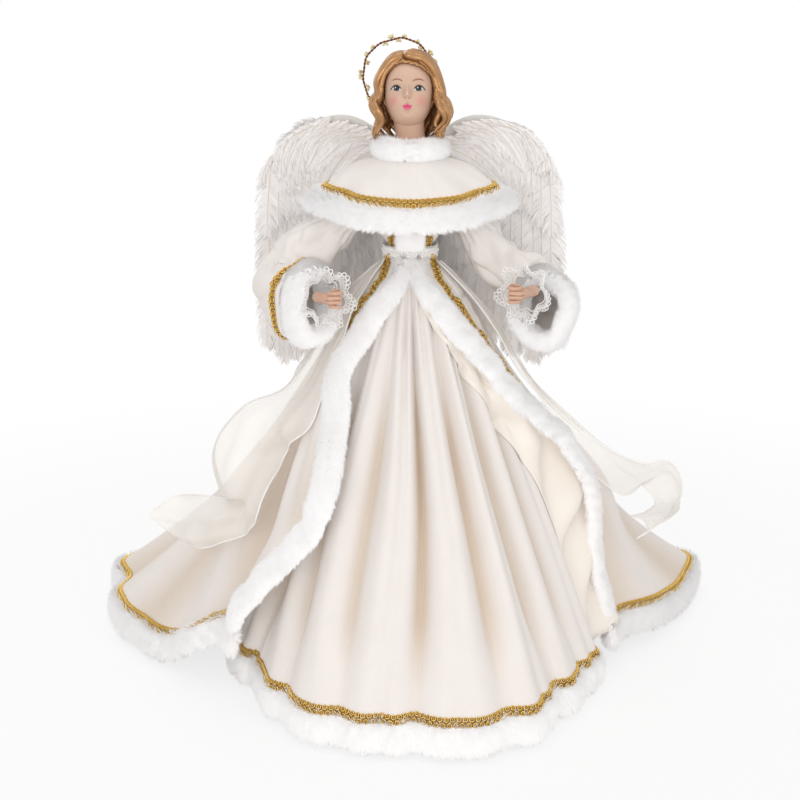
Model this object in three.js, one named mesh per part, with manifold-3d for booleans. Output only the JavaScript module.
// Angel tree topper: a dressed figure on a hollow cone that slips over the tip of a tree.
// Millimetres, +Z up. The figure faces -Y, and the origin is the centre of the cone's mouth.
import * as THREE from 'three';
import { mergeVertices } from 'three/addons/utils/BufferGeometryUtils.js';
import Module from 'manifold-3d';

const wasm = await Module();
wasm.setup();

// Driving dimensions
const SEAM_GAP = 0.3; // left between pieces that touch
const CLOTH = 1.2; // velvet and its backing
const LINING = 0.8;
const FUR = 9; // pile and backing, through the trim
const FUR_WIDTH = 20; // width of the fur strips
const BRAID_WIDTH = 6;
const BRAID = 1.2; // thickness of the gold braid

const CONE_BASE_R = 56;
const CONE_TOP_R = 8;
const CONE_HEIGHT = 258;
const CONE_WALL = 1.6;
const FOOT_WIDTH = 5; // flat ring that the cone stands on
const FOOT_HEIGHT = 3;

const WAIST_RISE = 16; // from the cone's top to the top edge of skirt and robe
const WAIST_R = 12; // torso at the waist
const CHEST_R = 20;
const SHOULDER_R = 23;
const TORSO_HEIGHT = 62; // above the waist
const NECK_STUB = 6;
const PLUG_R = 5; // torso's plug in the top of the cone
const PLUG_LENGTH = 16;
const DOWEL_R = 3;
const DOWEL_LENGTH = 38;

const PETTICOAT_FLARE = 40; // how far the net stands out past the cone at the hem
const NET = 0.8;
const WAISTBAND = 0.02; // share of the skirt that stays narrow under the belt
const SKIRT_FLARE = 22; // how far the skirt's folds stand out past the net
const SKIRT_TRAIN = 44; // how much further they reach in front
const SKIRT_WAVE = 6; // wave of the hem
const SKIRT_FOLDS = 18;
const SKIRT_FOLD_DEPTH = 9;
const HEM_Z = 22; // where the cloth ends and the fur hem begins
const ROBE_EASE = 3; // least room between skirt and robe lining
const ROBE_FOLDS = 15;
const ROBE_FOLD_DEPTH = 7;
const EDGE_FUR_AT_WAIST = 8; // width of the front edge's fur at the waist
const EDGE_SEAM = 1.8; // between that fur and the cut edge of the cloth
const EDGE_FUR_SINK = 2.6; // how far that fur sinks below the robe's face
const CORNER_LIFT = { left: 28, right: 7 }; // how far the robe's front corners ride up on the skirt
const ROBE_BULGE = 12; // where the robe stands off the figure's left hip

const BODICE_HEIGHT = 42;
const BELT_HEIGHT = 7;
const BELT_DROP = 2; // how far the belt reaches below the robe's top edge
const BODICE_FUR = 5;
const BODICE_FUR_WIDTH = 20;
const BELT = 2;

const NECK_R = 8.5;
const HEAD_RISE = 39.5; // middle of the head above the torso
const HEAD_HALF = new THREE.Vector3(14.5, 17, 19);
const HEAD_TILT = 0.2; // radians, chin up

const HAIR = 3.5; // moulded hair over the crown
const HALO_R = 24.5;
const HALO_WIRE_R = 0.8;
const HALO_OFFSET_X = -6;
const HALO_RISE = 5.2; // middle of the halo above the middle of the head
const BEAD_R = 1.3;
const BEADS = 12;

const CAPE_DROP = 15; // from the neck to the hem of the cloth at the sides
const CAPE_FRONT_DROP = 11; // how much lower the hem hangs in front and behind
const CAPE_HALF_WIDTH = 56;
const CAPE_FRONT_DEPTH = 40;
const CAPE_BACK_DEPTH = 29;
const CAPE_FUR_WIDTH = 15;
const COLLAR_HEIGHT = 12;
const COLLAR_WIDTH = 17;

const SHOULDER_RISE = 32; // shoulder ends of the arm wires above the waist
const ARM_WIRE_R = 1.3;
const SHOULDER_BALL_R = 2.2;
const PADDING_R = 8;
const CUFF_WIDTH = 17;
const CUFF_FUR = 7;
const LACE = 0.8;
const LACE_LENGTH = 13;
const LACE_R = 15;
const LACE_RUFFLES = 8;
const WRIST_R = 4.2;
const WRIST_LENGTH = 14;

const WING_CARD = 1.6;
const FEATHER = 1.2; // thickness of a row of feathers
const QUILLS = 9; // feathers in a row
const WING_ROOT_X = 9; // hinge line of each wing, from the middle of the back
const WING_PLATE_HEIGHT = 44;
const WING_PLATE_HALF_WIDTH = 16;
const WING_PLATE_DROP = 16; // middle of the plate below the top of the torso
const WING_CLEARANCE = 0.5; // between the plate and the wings behind it

const ORGANZA = 0.7;

// Heights, each from the one below it
const WAIST_Z = CONE_HEIGHT + WAIST_RISE;
const TORSO_TOP_Z = WAIST_Z + TORSO_HEIGHT;
const BODICE_TOP_Z = WAIST_Z + BODICE_HEIGHT;
const SHOULDER_Z = WAIST_Z + SHOULDER_RISE;
const HEAD_Z = TORSO_TOP_Z + HEAD_RISE;
const HALO_Z = HEAD_Z + HALO_RISE;

// Finishes
const velvet = new THREE.MeshStandardMaterial({ color: '#efe6d8', roughness: 0.85 });
const satin = new THREE.MeshStandardMaterial({ color: '#eee5d6', roughness: 0.4 });
const fur = new THREE.MeshStandardMaterial({ color: '#f6f4f2', roughness: 0.95 });
const gold = new THREE.MeshStandardMaterial({ color: '#b8902c', roughness: 0.35, metalness: 0.9 });
const net = new THREE.MeshStandardMaterial({ color: '#d8d2c8', roughness: 0.9 });
const organza = new THREE.MeshStandardMaterial({ color: '#efe9e2', roughness: 0.5 });
const lace = new THREE.MeshStandardMaterial({ color: '#fbfaf8', roughness: 0.8 });
const feather = new THREE.MeshStandardMaterial({ color: '#f3efed', roughness: 0.8 });
const skin = new THREE.MeshStandardMaterial({ color: '#dcb79c', roughness: 0.45 });
const hairPaint = new THREE.MeshStandardMaterial({ color: '#a9743c', roughness: 0.35, metalness: 0.4 });
const copper = new THREE.MeshStandardMaterial({ color: '#a5683f', roughness: 0.35, metalness: 0.9 });
const glassBead = new THREE.MeshStandardMaterial({ color: '#cdbb87', roughness: 0.2, metalness: 0.6 });
const card = new THREE.MeshStandardMaterial({ color: '#e6e0d6', roughness: 0.9 });
const foam = new THREE.MeshStandardMaterial({ color: '#f0eee9', roughness: 0.95 });
const steel = new THREE.MeshStandardMaterial({ color: '#8d9096', roughness: 0.4, metalness: 0.9 });
const wood = new THREE.MeshStandardMaterial({ color: '#c79f6b', roughness: 0.7 });

// General shapes
const V = (x, y, z) => new THREE.Vector3(x, y, z);
const lerp = THREE.MathUtils.lerp;
const rad = THREE.MathUtils.degToRad;
const smooth = (x) => THREE.MathUtils.smoothstep(x, 0, 1);
const steps = (n, from = 0, to = 1) => Array.from({ length: n + 1 }, (_, i) => lerp(from, to, i / n));

// A point at an angle from the front, turning towards -X, at radius r.
const polar = (angle, r, z) => V(-r * Math.sin(angle), -r * Math.cos(angle), z);

// A smooth function through hand-set [x, y] points.
function curveThrough(points) {
  const curve = new THREE.SplineCurve(points.map(([x, y]) => new THREE.Vector2(x, y)));
  const table = curve.getPoints(16 * points.length);
  return (x) => {
    const i = Math.max(1, table.findIndex((p, k) => k > 0 && p.x >= x));
    const [a, b] = x >= table.at(-1).x ? table.slice(-2) : [table[i - 1], table[i]];
    const share = THREE.MathUtils.clamp((x - a.x) / (b.x - a.x), 0, 1);
    return lerp(a.y, b.y, share);
  };
}

// Signed volume of an indexed geometry, negative when its faces point inwards.
function volume(geometry) {
  const p = geometry.getAttribute('position');
  const index = geometry.index.array;
  const [a, b, c] = [V(), V(), V()];
  let sum = 0;
  for (let i = 0; i < index.length; i += 3) {
    a.fromBufferAttribute(p, index[i]);
    b.fromBufferAttribute(p, index[i + 1]);
    c.fromBufferAttribute(p, index[i + 2]);
    sum += a.dot(b.cross(c)) / 6;
  }
  return sum;
}

// Joins closed loops of points, station to station. Both halves of a loop are split along the same
// diagonals, so that faces a constant distance apart stay apart. Open ends are capped across.
function loft(stations, closed = false) {
  const m = stations[0].length;
  const faces = [];
  const quad = (a, b, c, d) => faces.push(a, b, c, a, c, d);
  const last = closed ? stations.length : stations.length - 1;
  for (let i = 0; i < last; i++) {
    const [here, next] = [i * m, ((i + 1) % stations.length) * m];
    for (let k = 0; k < m; k++) {
      const l = (k + 1) % m;
      if (k < m / 2) quad(here + k, next + k, next + l, here + l);
      else quad(here + l, here + k, next + k, next + l);
    }
  }
  if (!closed) {
    const end = (stations.length - 1) * m;
    for (let k = 0; k < m / 2 - 1; k++) {
      quad(k, k + 1, m - 2 - k, m - 1 - k);
      quad(end + k, end + m - 1 - k, end + m - 2 - k, end + k + 1);
    }
  }
  const geometry = new THREE.BufferGeometry().setFromPoints(stations.flat());
  geometry.setIndex(faces);
  if (volume(geometry) < 0) {
    geometry.setIndex(faces.map((_, i) => faces[i - (i % 3) + (2 - (i % 3))]));
  }
  return geometry;
}

// A sheet with an outer and an inner face, each a function of u around and v along.
function shell(us, vs, outer, inner, closed = false) {
  const around = closed ? us.slice(0, -1) : us;
  const loopAt = (u) => [
    ...vs.map((v) => outer(u, v)),
    ...vs.toReversed().map((v) => inner(u, v)),
  ];
  return loft(around.map(loopAt), closed);
}

// A strip with a rounded section swept through frames { at, across, out }.
function strip(frames, width, thickness, closed = false, sides = 6) {
  const section = steps(sides).slice(0, -1).map((s) => 2 * Math.PI * (s + 0.5 / sides));
  const power = (x) => Math.sign(x) * Math.sqrt(Math.abs(x));
  const reach = power(Math.cos(Math.PI / sides));
  const loopAt = ({ at, across, out }) =>
    section.map((a) =>
      at
        .clone()
        .addScaledVector(across, ((power(Math.cos(a)) / reach) * width) / 2)
        .addScaledVector(out, (power(Math.sin(a)) * thickness) / 2),
    );
  return loft(frames.map(loopAt), closed);
}

// A round rod through points, with flat ends.
function rod(points, radius, stepsAlong = 24, sides = 3) {
  const curve = new THREE.CatmullRomCurve3(points);
  const outline = new THREE.Shape().absarc(0, 0, radius, 0, 2 * Math.PI);
  const options = { steps: stepsAlong, curveSegments: sides, extrudePath: curve };
  return new THREE.ExtrudeGeometry(outline, options);
}

const ellipsoid = (half, sides = 11, rings = 7) =>
  new THREE.SphereGeometry(1, sides, rings).rotateX(Math.PI / 2).scale(half.x, half.y, half.z);

// Turned parts: a profile of [radius, height] revolved about Z.
const turned = (profile, sides = 28) =>
  new THREE.LatheGeometry(profile.map(([r, z]) => new THREE.Vector2(r, z)), sides).rotateX(Math.PI / 2);

function solid(geometry) {
  const bare = geometry.clone();
  bare.deleteAttribute('normal');
  bare.deleteAttribute('uv');
  const merged = mergeVertices(bare, 1e-3);
  const vertProperties = new Float32Array(merged.getAttribute('position').array);
  const triVerts = new Uint32Array(merged.index.array);
  return new wasm.Manifold(new wasm.Mesh({ numProp: 3, vertProperties, triVerts }));
}

function surface(manifold) {
  const { vertProperties, triVerts } = manifold.getMesh();
  const geometry = new THREE.BufferGeometry();
  geometry.setAttribute('position', new THREE.BufferAttribute(new Float32Array(vertProperties), 3));
  geometry.setIndex(new THREE.BufferAttribute(new Uint32Array(triVerts), 1));
  return geometry;
}

const join = (geometries) => geometries.map(solid).reduce((a, b) => a.add(b));

const angel = new THREE.Group();
function place(name, geometry, material, parent = angel) {
  const mesh = new THREE.Mesh(geometry, material);
  mesh.name = name;
  parent.add(mesh);
  return mesh;
}

// Support cone, torso and neck dowel
const coneSlope = (CONE_BASE_R - CONE_TOP_R) / CONE_HEIGHT;
const coneR = (z) => CONE_BASE_R - coneSlope * z;
place(
  'support_cone',
  turned([
    [CONE_BASE_R + FOOT_WIDTH, 0],
    [CONE_BASE_R + FOOT_WIDTH, FOOT_HEIGHT],
    [coneR(FOOT_HEIGHT), FOOT_HEIGHT],
    [CONE_TOP_R, CONE_HEIGHT],
    [CONE_TOP_R - CONE_WALL, CONE_HEIGHT],
    [CONE_BASE_R - CONE_WALL, 0],
    [CONE_BASE_R + FOOT_WIDTH, 0],
  ]),
  card,
);

const torsoBottom = CONE_HEIGHT + SEAM_GAP;
const torsoSide = [
  [WAIST_R, torsoBottom],
  [WAIST_R, WAIST_Z + BELT_HEIGHT / 2],
  [CHEST_R, lerp(WAIST_Z, TORSO_TOP_Z, 0.45)],
  [SHOULDER_R, lerp(WAIST_Z, TORSO_TOP_Z, 0.72)],
  [NECK_R, TORSO_TOP_Z - NECK_STUB],
  [NECK_R, TORSO_TOP_Z],
];
const torsoR = (z) => {
  const i = Math.max(1, torsoSide.findIndex(([, height]) => height >= z));
  const [[r0, z0], [r1, z1]] = [torsoSide[i - 1], torsoSide[i]];
  return lerp(r0, r1, (z - z0) / (z1 - z0));
};
const torsoProfile = [
  [0, torsoBottom - PLUG_LENGTH],
  [PLUG_R, torsoBottom - PLUG_LENGTH],
  [PLUG_R, torsoBottom],
  ...torsoSide,
  [0, TORSO_TOP_Z],
];
const neckBaseZ = TORSO_TOP_Z + SEAM_GAP;
const cylinder = (radius, length, z, sides = 24) =>
  new THREE.CylinderGeometry(radius, radius, length, sides).rotateX(Math.PI / 2).translate(0, 0, z);
const dowelBore = solid(cylinder(DOWEL_R + SEAM_GAP, DOWEL_LENGTH + 2 * SEAM_GAP, neckBaseZ));
place('torso_core', surface(solid(turned(torsoProfile)).subtract(dowelBore)), foam);
place('neck_dowel', cylinder(DOWEL_R, DOWEL_LENGTH, neckBaseZ), wood);

// Petticoat: a net cone that rests on the support cone
const petticoatTopZ = CONE_HEIGHT - PLUG_LENGTH;
const petticoatTopR = coneR(petticoatTopZ) + SEAM_GAP + NET;
const petticoatHemR = CONE_BASE_R + PETTICOAT_FLARE;
const petticoatFace = (inset) => (angle, v) =>
  polar(angle, lerp(petticoatTopR, petticoatHemR, v) - inset, lerp(petticoatTopZ, HEM_Z, v));
place(
  'petticoat',
  shell(steps(32, 0, 2 * Math.PI), [0, 1], petticoatFace(0), petticoatFace(NET), true),
  net,
);

// Skirt: long pleats that fold inwards from an outline fuller in front
const skirtWaistR = WAIST_R + SEAM_GAP + CLOTH;
const skirtHemR = (angle) =>
  petticoatHemR +
  SKIRT_FLARE +
  SKIRT_TRAIN * Math.max(0, Math.cos(angle + 0.14)) ** 2 +
  SKIRT_WAVE * Math.cos(8 * angle - 3.5);
const flare = (v) => Math.max(0, (v - WAISTBAND) / (1 - WAISTBAND)) ** 0.8;
const skirtOuterR = (angle, v) => lerp(skirtWaistR, skirtHemR(angle), flare(v));
const pleat = (angle) =>
  1 - Math.abs(Math.sin((SKIRT_FOLDS / 2) * angle + 0.9 * Math.sin(2 * angle + 0.5)));
const skirtFold = (angle, v) => SKIRT_FOLD_DEPTH * smooth(v / 0.5) * pleat(angle);
const dressZ = (v, hem = HEM_Z) => lerp(WAIST_Z, hem, v);
const skirtFace = (inset) => (angle, v) =>
  polar(angle, skirtOuterR(angle, v) - skirtFold(angle, v) - inset, dressZ(v));
const skirtAngles = steps(4 * SKIRT_FOLDS, 0, 2 * Math.PI);
const braidStart = 1 - (0.88 * BRAID_WIDTH) / (WAIST_Z - HEM_Z);
const dressRows = [0, WAISTBAND, 0.2, 0.55, braidStart, 1];
place('skirt', shell(skirtAngles, dressRows, skirtFace(0), skirtFace(CLOTH), true), velvet);
const onTop = [-SEAM_GAP - BRAID, -SEAM_GAP];
place('skirt_braid', shell(skirtAngles, [braidStart, 1], ...onTop.map(skirtFace), true), gold);

// Fur hem: hangs from the end of the cloth to just above the floor
const hemFrame = (edge, slope) => {
  const side = V(edge.x, edge.y, 0).normalize();
  const across = V(0, 0, -1).addScaledVector(side, slope).normalize();
  const out = side.clone().addScaledVector(V(0, 0, 1), slope).normalize();
  return { at: edge.clone().addScaledVector(across, FUR_WIDTH / 2 + 2 * SEAM_GAP), across, out };
};
const skirtHem = skirtAngles.slice(0, -1).map((angle) => hemFrame(skirtFace(CLOTH / 2)(angle, 1), 0));
place('skirt_hem_fur', strip(skirtHem, FUR_WIDTH, FUR, true), fur);

// Robe: open in front, spread out over the floor at the sides and back
const leftEdge = curveThrough([
  [0, 5], [0.07, 16], [0.16, 27], [0.28, 37], [0.4, 32], [0.5, 26], [0.62, 28], [0.8, 41], [1, 57],
]);
const rightEdge = curveThrough([
  [0, 4], [0.06, 7], [0.135, 20], [0.23, 36], [0.32, 50], [0.42, 65], [0.53, 78], [0.7, 85], [1, 91],
]);
const robeSpread = curveThrough([
  [0, 0], [56, 0], [66, 2], [76, 13], [93, 66], [113, 88], [135, 82], [158, 54], [180, 40],
  [205, 52], [225, 80], [240, 98], [253, 68], [264, 28], [274, 13], [286, 5], [300, 0], [360, 0],
]);
const robeFold = (angle, v) =>
  ROBE_FOLD_DEPTH *
  smooth((v - 0.1) / 0.7) *
  (0.5 + 0.5 * Math.cos(ROBE_FOLDS * angle + Math.sin(3 * angle)));
const robeInnerR = (angle, v) =>
  skirtOuterR(angle, v) +
  SEAM_GAP +
  ROBE_EASE * smooth(v / 0.12) +
  Math.max(0, robeSpread(THREE.MathUtils.radToDeg(angle))) * v ** 2.2 +
  ROBE_BULGE * Math.exp(-(((v - 0.62) / 0.2) ** 2) - ((angle - rad(272)) / 0.5) ** 2) +
  robeFold(angle, v);
const robeThickness = LINING + SEAM_GAP + CLOTH;
const robeOuterR = (angle, v) => robeInnerR(angle, v) + robeThickness;
const edgeFurWidth = (v) => lerp(EDGE_FUR_AT_WAIST, FUR_WIDTH, smooth(v / 0.2));
const robeEdges = (v) => [rad(leftEdge(v)), 2 * Math.PI - rad(rightEdge(v))];
const robeAngle = (s, v, margin = edgeFurWidth(v) + EDGE_SEAM) => {
  const [left, right] = robeEdges(v);
  return lerp(left + margin / robeOuterR(left, v), right - margin / robeOuterR(right, v), s);
};
const cornerLift = (s) =>
  CORNER_LIFT.left * (1 - smooth(s / 0.1)) + CORNER_LIFT.right * (1 - smooth((1 - s) / 0.1));
const robeFace = (inset) => (s, v) => {
  const angle = robeAngle(s, v);
  return polar(angle, robeOuterR(angle, v) - inset, dressZ(v, HEM_Z + cornerLift(s)));
};
const robeWidths = steps(36);
const robeRows = [0, WAISTBAND, 0.13, 0.28, 0.48, 0.62, 0.8, braidStart, 1];
place('robe', shell(robeWidths, robeRows, robeFace(0), robeFace(CLOTH)), velvet);
place(
  'robe_lining',
  shell(robeWidths, robeRows, robeFace(CLOTH + SEAM_GAP), robeFace(robeThickness)),
  satin,
);
place('robe_hem_braid', shell(robeWidths, [braidStart, 1], ...onTop.map(robeFace)), gold);
const robeHem = robeWidths.map((s) => {
  const angle = robeAngle(s, 1, 0);
  return hemFrame(polar(angle, robeOuterR(angle, 1) - CLOTH / 2, HEM_Z + cornerLift(s)), 0.15);
});
place('robe_hem_fur', strip(robeHem, FUR_WIDTH, FUR), fur);

// Fur and braid down the robe's front edges
const belowBelt = (BELT_DROP + SEAM_GAP + FUR / 2) / (WAIST_Z - HEM_Z);
const edgeRows = steps(16, belowBelt, 0.975);
const robeSides = { left: 0, right: 1 };
for (const [side, s] of Object.entries(robeSides)) {
  const furFrame = (v) => {
    const width = edgeFurWidth(v);
    const angle = robeAngle(s, v, width / 2);
    const r = robeOuterR(angle, v) + FUR / 2 - EDGE_FUR_SINK;
    const at = polar(angle, r, dressZ(v, HEM_Z + CORNER_LIFT[side]));
    const out = polar(angle, 1, 0);
    const across = V(0, 0, 1).cross(out);
    return { at, across: across.multiplyScalar(width / FUR_WIDTH), out };
  };
  place(`robe_edge_fur_${side}`, strip(edgeRows.map(furFrame), FUR_WIDTH, FUR), fur);
  const braidFace = (lift) => (q, v) => {
    const margin = edgeFurWidth(v) + EDGE_SEAM + q * BRAID_WIDTH;
    const angle = robeAngle(s, v, margin);
    return polar(angle, robeOuterR(angle, v) + lift, dressZ(v, HEM_Z + CORNER_LIFT[side]));
  };
  const rows = steps(8, belowBelt, 0.32);
  const faces = [braidFace(2 * SEAM_GAP + BRAID), braidFace(2 * SEAM_GAP)];
  place(`robe_edge_braid_${side}`, shell([0, 0.5, 1], rows, ...faces), gold);
}

// Bodice, its fur front and braid, and the waistband
const GATHER_DEPTH = 0.8;
const gather = (angle, z) =>
  GATHER_DEPTH * (0.5 + 0.5 * Math.cos(12 * angle)) * smooth((z - WAIST_Z - BELT_HEIGHT) / 10);
const bodiceZ = (v) => lerp(WAIST_Z + SEAM_GAP, BODICE_TOP_Z, v);
const bodiceR = (angle, z) => torsoR(z) + SEAM_GAP + CLOTH + gather(angle, z);
const bodiceFace = (outer) => (angle, v) => {
  const z = bodiceZ(v);
  return polar(angle, outer ? bodiceR(angle, z) : torsoR(z) + SEAM_GAP, z);
};
const bodiceRows = torsoSide
  .map(([, z]) => (z - bodiceZ(0)) / (bodiceZ(1) - bodiceZ(0)))
  .filter((v) => v > 0 && v < 1);
place(
  'bodice',
  shell(steps(36, 0, 2 * Math.PI), [0, ...bodiceRows, 1], bodiceFace(true), bodiceFace(false), true),
  velvet,
);
const frontZ = [WAIST_Z + BELT_HEIGHT - BELT_DROP + 1.5, WAIST_Z + BELT_HEIGHT - BELT_DROP + 20];
const bodiceFront = steps(5, ...frontZ).map((z) => ({
  at: V(0, -bodiceR(0, z) - SEAM_GAP - BODICE_FUR / 2 - 0.5, z),
  across: V(1, 0, 0),
  out: V(0, -1, 0),
}));
place('bodice_fur', strip(bodiceFront, BODICE_FUR_WIDTH, BODICE_FUR), fur);
for (const [side, sign] of [['left', 1], ['right', -1]]) {
  const braidFace = (lift) => (q, z) => {
    const r = torsoR(z) + SEAM_GAP + CLOTH + GATHER_DEPTH + lift;
    const half = BODICE_FUR_WIDTH / 2 + 1;
    return polar(sign * (Math.asin(half / r) + (q * BRAID_WIDTH) / r), r, z);
  };
  const face = [braidFace(SEAM_GAP + BRAID), braidFace(SEAM_GAP)];
  place(`bodice_braid_${side}`, shell([0, 0.5, 1], steps(5, ...frontZ), ...face), gold);
}
const beltR = skirtWaistR + 2 * SEAM_GAP + robeThickness;
const beltFace = (lift) => (angle, v) =>
  polar(angle, beltR + lift, WAIST_Z - BELT_DROP + v * BELT_HEIGHT);
place('belt', shell(steps(40, 0, 2 * Math.PI), [0, 1], beltFace(BELT), beltFace(0), true), lace);

// Cape with its fur collar, fur hem and braid
const collarR = NECK_R + 2 * SEAM_GAP + COLLAR_WIDTH / 2;
const frontness = (angle) => 0.5 + 0.5 * Math.cos(angle);
const capeTopZ = TORSO_TOP_Z - NECK_STUB + 2;
const capePoint = (angle, v) => {
  const spread = v ** 0.75;
  const depth = lerp(CAPE_BACK_DEPTH, CAPE_FRONT_DEPTH, frontness(angle));
  const wave = 1.2 * smooth((v - 0.3) / 0.7) * Math.cos(9 * angle + Math.sin(2 * angle));
  const drop = CAPE_DROP + CAPE_FRONT_DROP * Math.cos(angle) ** 2;
  const x = -Math.sin(angle) * (lerp(collarR, CAPE_HALF_WIDTH, spread) + wave);
  const y = -Math.cos(angle) * (lerp(collarR, depth, spread) + wave);
  return V(x, y, capeTopZ - drop * v ** 1.6);
};
// Outward normal of the cape, from two short steps along it.
const capeFrame = (angle, v) => {
  const here = capePoint(angle, v);
  const down = capePoint(angle, v + 0.01).sub(here).normalize();
  const round = capePoint(angle + 0.01, v).sub(here).normalize();
  return { here, down, out: down.clone().cross(round).normalize().negate() };
};
const capeFace = (lift) => (angle, v) => {
  const { here, out } = capeFrame(angle, v);
  return here.addScaledVector(out, lift);
};
const capeAngles = steps(40, 0, 2 * Math.PI);
const capeBraid = [0.8, 1];
place('cape', shell(capeAngles, [0, 0.25, 0.55, ...capeBraid], capeFace(CLOTH), capeFace(0), true), velvet);
place(
  'cape_braid',
  shell(capeAngles, capeBraid, capeFace(CLOTH + SEAM_GAP + BRAID), capeFace(CLOTH + SEAM_GAP), true),
  gold,
);
const capeHem = capeAngles.slice(0, -1).map((angle) => {
  const { here, down, out } = capeFrame(angle, 1);
  return { at: here.addScaledVector(down, CAPE_FUR_WIDTH / 2 + 2 * SEAM_GAP), across: down, out };
});
const capeFur = place('cape_hem_fur', strip(capeHem, CAPE_FUR_WIDTH, FUR - 1, true), fur);
const capeHemFur = new THREE.Box3().setFromObject(capeFur);
const collarZ = capeTopZ + CLOTH + SEAM_GAP + COLLAR_HEIGHT / 2;
const collar = steps(24, 0, 2 * Math.PI).slice(0, -1).map((angle) => ({
  at: polar(angle, collarR, collarZ),
  across: polar(angle, 1, 0),
  out: V(0, 0, 1),
}));
place('cape_collar_fur', strip(collar, COLLAR_WIDTH, COLLAR_HEIGHT, true), fur);

// Head and hair: one casting each, tilted back a little
const tilt = new THREE.Matrix4().makeRotationX(-HEAD_TILT).setPosition(0, 0, HEAD_Z);
const blob = (half, x, y, z) => ellipsoid(half).translate(x, y, z).applyMatrix4(tilt);
const neckTopZ = HEAD_Z - HEAD_HALF.z / 2;
const neck = cylinder(NECK_R - 1, neckTopZ - neckBaseZ, (neckTopZ + neckBaseZ) / 2);
const face = join([
  blob(HEAD_HALF, 0, 0, 0),
  blob(V(6, 6, 6), 0, -9.5, -13.5),
  blob(V(1.8, 2.6, 2.6), 0, -17, -3),
  neck,
]);
place('head', surface(face.subtract(dowelBore)), skin);
const grown = HEAD_HALF.clone().addScalar(SEAM_GAP);
const hairMass = [
  blob(HEAD_HALF.clone().addScalar(HAIR), 0, 2, 1),
  ...[-1, 1].flatMap((sign) => [
    blob(V(7, 9, 12), sign * 16, -1, -6),
    blob(V(6.5, 8, 9), sign * 17, -1, -15),
  ]),
  blob(V(17, 9, 14), 0, 11, -12),
];
const hairCut = [
  blob(grown, 0, 0, 0),
  blob(V(6.4, 6.4, 6.4), 0, -9.5, -13.5),
  blob(V(11.8, 18, 19), -0.5, -18, -7),
  cylinder(NECK_R - 1 + SEAM_GAP, 2 * (neckTopZ - neckBaseZ), (neckTopZ + neckBaseZ) / 2),
];
const underHair = solid(cylinder(60, 60, collarZ + COLLAR_HEIGHT / 2 + SEAM_GAP - 30));
place('hair', surface(join(hairMass).subtract(join(hairCut)).subtract(underHair)), hairPaint);

// Halo: copper wire on a stem behind the head, with a strand of beads outside it
const haloY = HEAD_HALF.y + HAIR + 7;
const haloAt = (angle, r) => V(HALO_OFFSET_X + r * Math.sin(angle), haloY, HALO_Z + r * Math.cos(angle));
const ring = (r, wire, sides) => new THREE.TorusGeometry(r, wire, 4, sides).rotateX(Math.PI / 2);
const atHalo = (geometry) => geometry.translate(HALO_OFFSET_X, haloY, HALO_Z);
const stemTop = haloAt(Math.PI, HALO_R);
const stemFoot = V(0, collarR + COLLAR_WIDTH / 5, collarZ + COLLAR_HEIGHT / 2 + SEAM_GAP);
const stem = [stemTop, stemTop.clone().add(V(1, -3, -0.5)), stemFoot.clone().add(V(0, 0.5, 4)), stemFoot];
const haloRing = atHalo(ring(HALO_R, HALO_WIRE_R, 36));
place('halo_wire', surface(join([haloRing, rod(stem, HALO_WIRE_R, 6)])), copper);
const strandR = HALO_R + HALO_WIRE_R + SEAM_GAP + BEAD_R;
const beads = steps(BEADS, 0, 2 * Math.PI).slice(0, -1).map((angle) => {
  const { x, y, z } = haloAt(angle, strandR);
  return new THREE.IcosahedronGeometry(BEAD_R).translate(x, y, z);
});
place('halo_beads', surface(join([atHalo(ring(strandR, BEAD_R / 3, 32)), ...beads])), glassBead);

// Arms: wire, padding, sleeve, cuff, lace and hand
const shoulderX = bodiceR(0, SHOULDER_Z) + SEAM_GAP + SHOULDER_BALL_R;
const below = (x, y, drop) => V(x, y, SHOULDER_Z - drop);
const sleeveHeadR = PADDING_R + SEAM_GAP + CLOTH;
const arms = {
  left: {
    path: [
      below(-shoulderX, 0, 0), below(-46, 2, 16), below(-69, 3, 38),
      below(-79, -7, 55), below(-70, -28, 58), below(-55, -43, 58),
    ],
    radii: [[0, sleeveHeadR], [0.12, sleeveHeadR], [0.25, 14], [0.45, 19], [0.65, 22], [1, 23]],
    wrist: below(-53, -59, 50),
    toHand: V(0.42, -0.9, 0.1).normalize(),
  },
  right: {
    path: [
      below(shoulderX, 0, 0), below(41, 2, 16), below(55, 5, 37),
      below(74, 5, 55), below(83, -17, 62), below(81, -39, 63),
    ],
    radii: [[0, sleeveHeadR], [0.12, sleeveHeadR], [0.25, 13.5], [0.45, 16.5], [0.65, 20], [1, 23]],
    wrist: below(71, -55.5, 47),
    toHand: V(-0.5, -0.86, 0.05).normalize(),
  },
};

// Points round a tube along a path, drawn tall and narrow towards its end.
function tube(curve, rows) {
  const frames = curve.computeFrenetFrames(rows);
  return (angle, v, r) => {
    const i = Math.round(v * rows);
    const offset = frames.normals[i].clone().multiplyScalar(r * Math.cos(angle));
    offset.addScaledVector(frames.binormals[i], r * Math.sin(angle));
    const tall = smooth((v - 0.4) / 0.5);
    offset.multiply(V(1 - 0.2 * tall, 1 - 0.2 * tall, 1 + 0.08 * tall));
    return curve.getPointAt(v).add(offset);
  };
}

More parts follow.
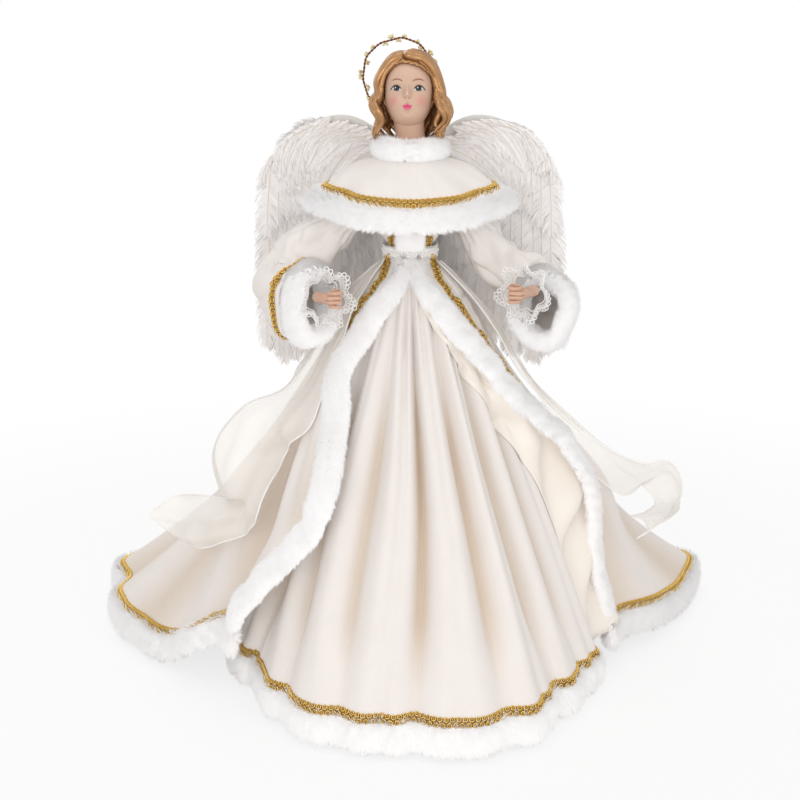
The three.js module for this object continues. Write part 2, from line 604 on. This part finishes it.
const TUBE_ROWS = 100; // stations along a sleeve's path
const armAngles = steps(18, 0, 2 * Math.PI);
for (const [side, arm] of Object.entries(arms)) {
  const curve = new THREE.CatmullRomCurve3(arm.path, false, 'centripetal');
  const around = tube(curve, TUBE_ROWS);
  const radius = curveThrough(arm.radii);
  const wrinkle = (angle, v) => 1.1 * smooth((v - 0.15) / 0.2) * Math.cos(4 * angle + 9 * v);
  const sleeveFace = (inset) => (angle, v) => around(angle, v, radius(v) + wrinkle(angle, v) - inset);
  const mouth = 1 - Math.ceil((CUFF_WIDTH / curve.getLength()) * TUBE_ROWS) / TUBE_ROWS;
  const braid = [mouth - 0.06, mouth - 0.01];
  const rows = [0.1, 0.2, 0.3, 0.4, 0.5, 0.58, 0.66, ...braid, mouth].sort((a, b) => a - b);
  place(`sleeve_${side}`, shell(armAngles, rows, sleeveFace(0), sleeveFace(CLOTH), true), velvet);
  place(`cuff_braid_${side}`, shell(armAngles, braid, ...onTop.map(sleeveFace), true), gold);
  const cuff = [mouth + 0.01, mouth + 0.03, 0.98, 1];
  const furDepth = (v) => (v === cuff[0] || v === 1 ? 1.5 : 0);
  const cuffOuter = (angle, v) => around(angle, v, radius(v) + 2 - furDepth(v));
  const cuffInner = (angle, v) => around(angle, v, radius(v) + 2 - CUFF_FUR + furDepth(v));
  place(`cuff_fur_${side}`, shell(armAngles, cuff, cuffOuter, cuffInner, true), fur);

  const elbow = curve.getPointAt(0.62);
  const wireEnd = arm.wrist.clone().addScaledVector(arm.toHand, -WRIST_LENGTH / 2 - SEAM_GAP);
  const beforeEnd = wireEnd.clone().addScaledVector(arm.toHand, -12);
  const wirePath = [0, 0.12, 0.25, 0.42].map((v) => curve.getPointAt(v));
  const wire = rod([...wirePath, elbow, beforeEnd, wireEnd], ARM_WIRE_R, 18);
  const ball = new THREE.SphereGeometry(SHOULDER_BALL_R, 8, 6).translate(...arm.path[0].toArray());
  place(`arm_wire_${side}`, surface(join([wire, ball])), steel);
  const paddingFace = (r) => (angle, v) => around(angle, v, r);
  place(
    `arm_padding_${side}`,
    shell(armAngles, [0.07, 0.13, 0.19, 0.25], paddingFace(PADDING_R), paddingFace(ARM_WIRE_R + 1), true),
    foam,
  );

  // Hand built along +X, then turned to lie along the forearm
  const sign = side === 'left' ? 1 : -1;
  const across = V(0, 0, 1).cross(arm.toHand).normalize();
  const up = arm.toHand.clone().cross(across);
  const turn = new THREE.Matrix4().makeBasis(arm.toHand, across, up).setPosition(arm.wrist);
  const finger = (i) => {
    const z = 3.3 - 2.2 * i;
    const reach = [19.5, 20.8, 20.2, 18.4][i];
    const points = [V(10, 0, z * 0.8), V(14.5, 0.2, z), V(reach, 1.4 * sign, z * 0.9)];
    return solid(rod(points, 1.15, 3));
  };
  const thumb = rod([V(7, 0.5 * sign, 2), V(10.5, 2 * sign, 4.6), V(14, 2.8 * sign, 5.2)], 1.25, 3);
  const stub = new THREE.CylinderGeometry(WRIST_R - 0.6, WRIST_R, WRIST_LENGTH, 12).rotateZ(-Math.PI / 2);
  const palm = ellipsoid(V(5.6, 2.4, 4.7), 10, 7).translate(9.5, 0, 0);
  const hand = [0, 1, 2, 3].map(finger).reduce((a, b) => a.add(b), join([stub, palm, thumb]));
  place(`hand_${side}`, surface(hand).applyMatrix4(turn), skin);
  const laceFace = (inset) => (angle, v) => {
    const ruffle = 2.2 * v * Math.cos(LACE_RUFFLES * angle);
    const r = lerp(WRIST_R + SEAM_GAP + LACE, LACE_R, v ** 0.7) + ruffle - inset;
    const x = lerp(-WRIST_LENGTH / 2, LACE_LENGTH - WRIST_LENGTH / 2, v) - 2 * v * v;
    return V(x, r * Math.cos(angle), r * Math.sin(angle)).applyMatrix4(turn);
  };
  const laceAngles = steps(5 * LACE_RUFFLES, 0, 2 * Math.PI);
  place(`lace_cuff_${side}`, shell(laceAngles, [0, 0.5, 1], laceFace(0), laceFace(LACE), true), lace);
}

// Organza sashes: sewn under the belt, hanging over the robe
const sashes = {
  left: {
    angle: [[0, 84], [0.15, 84], [0.35, 82], [0.6, 80], [0.8, 87], [1, 93]],
    height: [[0, 0.03], [0.15, 0.11], [0.35, 0.26], [0.6, 0.43], [0.8, 0.57], [1, 0.73]],
    half: [[0, 3], [0.15, 7], [0.35, 12], [0.6, 18], [0.8, 24], [1, 30]],
    lift: [[0, 0], [0.15, 3], [0.35, 4.5], [0.6, 8], [0.8, 14], [1, 9]],
  },
  right: {
    angle: [[0, 278], [0.15, 277], [0.35, 273], [0.6, 264], [0.8, 256], [1, 246]],
    height: [[0, 0.03], [0.15, 0.11], [0.35, 0.24], [0.6, 0.36], [0.8, 0.48], [1, 0.62]],
    half: [[0, 3], [0.15, 7], [0.35, 11], [0.6, 15], [0.8, 20], [1, 26]],
    lift: [[0, 0], [0.15, 3.5], [0.35, 6], [0.6, 9], [0.8, 14], [1, 16]],
  },
};
for (const [side, sash] of Object.entries(sashes)) {
  const curves = [sash.angle, sash.height, sash.half, sash.lift].map(curveThrough);
  const [angleAt, heightAt, halfAt, liftAt] = curves;
  const sashFace = (inset) => (q, w) => {
    const v = heightAt(w);
    const middle = rad(angleAt(w));
    const angle = middle + (q * halfAt(w)) / robeOuterR(middle, v);
    const ripple = 3 * smooth(w) * (1 + Math.cos(2.5 * Math.PI * q + 5 * w));
    return polar(angle, robeOuterR(angle, v) + liftAt(w) + ripple + ORGANZA - inset, dressZ(v));
  };
  place(`sash_${side}`, shell(steps(8, -1, 1), steps(15), sashFace(0), sashFace(ORGANZA)), organza);
}

// Wings: three rows of feathers on a card, bound to a plate on the back
const plateY = capeHemFur.max.y + SEAM_GAP;
const plate = new THREE.BoxGeometry(2 * WING_PLATE_HALF_WIDTH, WING_CARD, WING_PLATE_HEIGHT);
place('wing_plate', plate.translate(0, plateY + WING_CARD / 2, TORSO_TOP_Z - WING_PLATE_DROP), card);
const wingFrontY = plateY + WING_CARD + WING_CLEARANCE;

// A leaf-shaped feather hanging from its root, leaning out by an angle.
function quill(x, z, lean, length, width, y) {
  const shape = new THREE.Shape();
  shape.moveTo(0, 0);
  shape.bezierCurveTo(width * 0.7, -length * 0.15, width * 0.6, -length * 0.85, 0, -length);
  shape.bezierCurveTo(-width * 0.6, -length * 0.85, -width * 0.7, -length * 0.15, 0, 0);
  const options = { depth: FEATHER, bevelEnabled: false, curveSegments: 4 };
  const blade = new THREE.ExtrudeGeometry(shape, options).rotateZ(lean);
  return blade.rotateX(Math.PI / 2).translate(x, y + FEATHER, z);
}
const WING_SPAN = 76; // of the arc that the quills hang from
const wingArc = curveThrough([[0, -2], [20, 12], [40, 18], [60, 13], [WING_SPAN, -2]]);
const featherRows = {
  coverts: { drop: 4, length: [[0, 34], [1, 50]], width: 19, layer: 0 },
  secondaries: { drop: 24, length: [[0, 60], [0.7, 84], [1, 74]], width: 20, layer: 1 },
  primaries: { drop: 50, length: [[0, 60], [0.5, 96], [0.78, 114], [1, 84]], width: 19, layer: 2 },
};
for (const [side, sign] of [['left', -1], ['right', 1]]) {
  for (const [row, { drop, length, width, layer }] of Object.entries(featherRows)) {
    const lengthAt = curveThrough(length);
    const y = wingFrontY + layer * (FEATHER + SEAM_GAP);
    const feathers = steps(QUILLS - 1).map((f) => {
      const x = WING_ROOT_X + width * 0.5 + f * (WING_SPAN - 2);
      const z = TORSO_TOP_Z + wingArc(f * WING_SPAN) - drop * (0.7 + 0.3 * f);
      return quill(sign * x, z, sign * lerp(-0.06, 0.12, f), lengthAt(f), width, y);
    });
    place(`${row}_${side}`, surface(join(feathers)), feather);
  }
  const cardY = wingFrontY + 3 * (FEATHER + SEAM_GAP);
  const outline = [
    [26, 14], [44, 20], [64, 15], [82, 0], [95, -26],
    [98, -64], [90, -110], [78, -131], [52, -110], [28, -76],
  ];
  const shape = new THREE.Shape();
  shape.moveTo(sign * WING_ROOT_X, -2);
  shape.splineThru(outline.map(([x, z]) => new THREE.Vector2(sign * x, z)));
  shape.lineTo(sign * WING_ROOT_X, -44);
  const options = { depth: WING_CARD, bevelEnabled: false, curveSegments: 3 };
  const backing = new THREE.ExtrudeGeometry(shape, options).rotateX(Math.PI / 2);
  place(`wing_card_${side}`, backing.translate(0, cardY + WING_CARD, TORSO_TOP_Z), card);
}

export default angel;
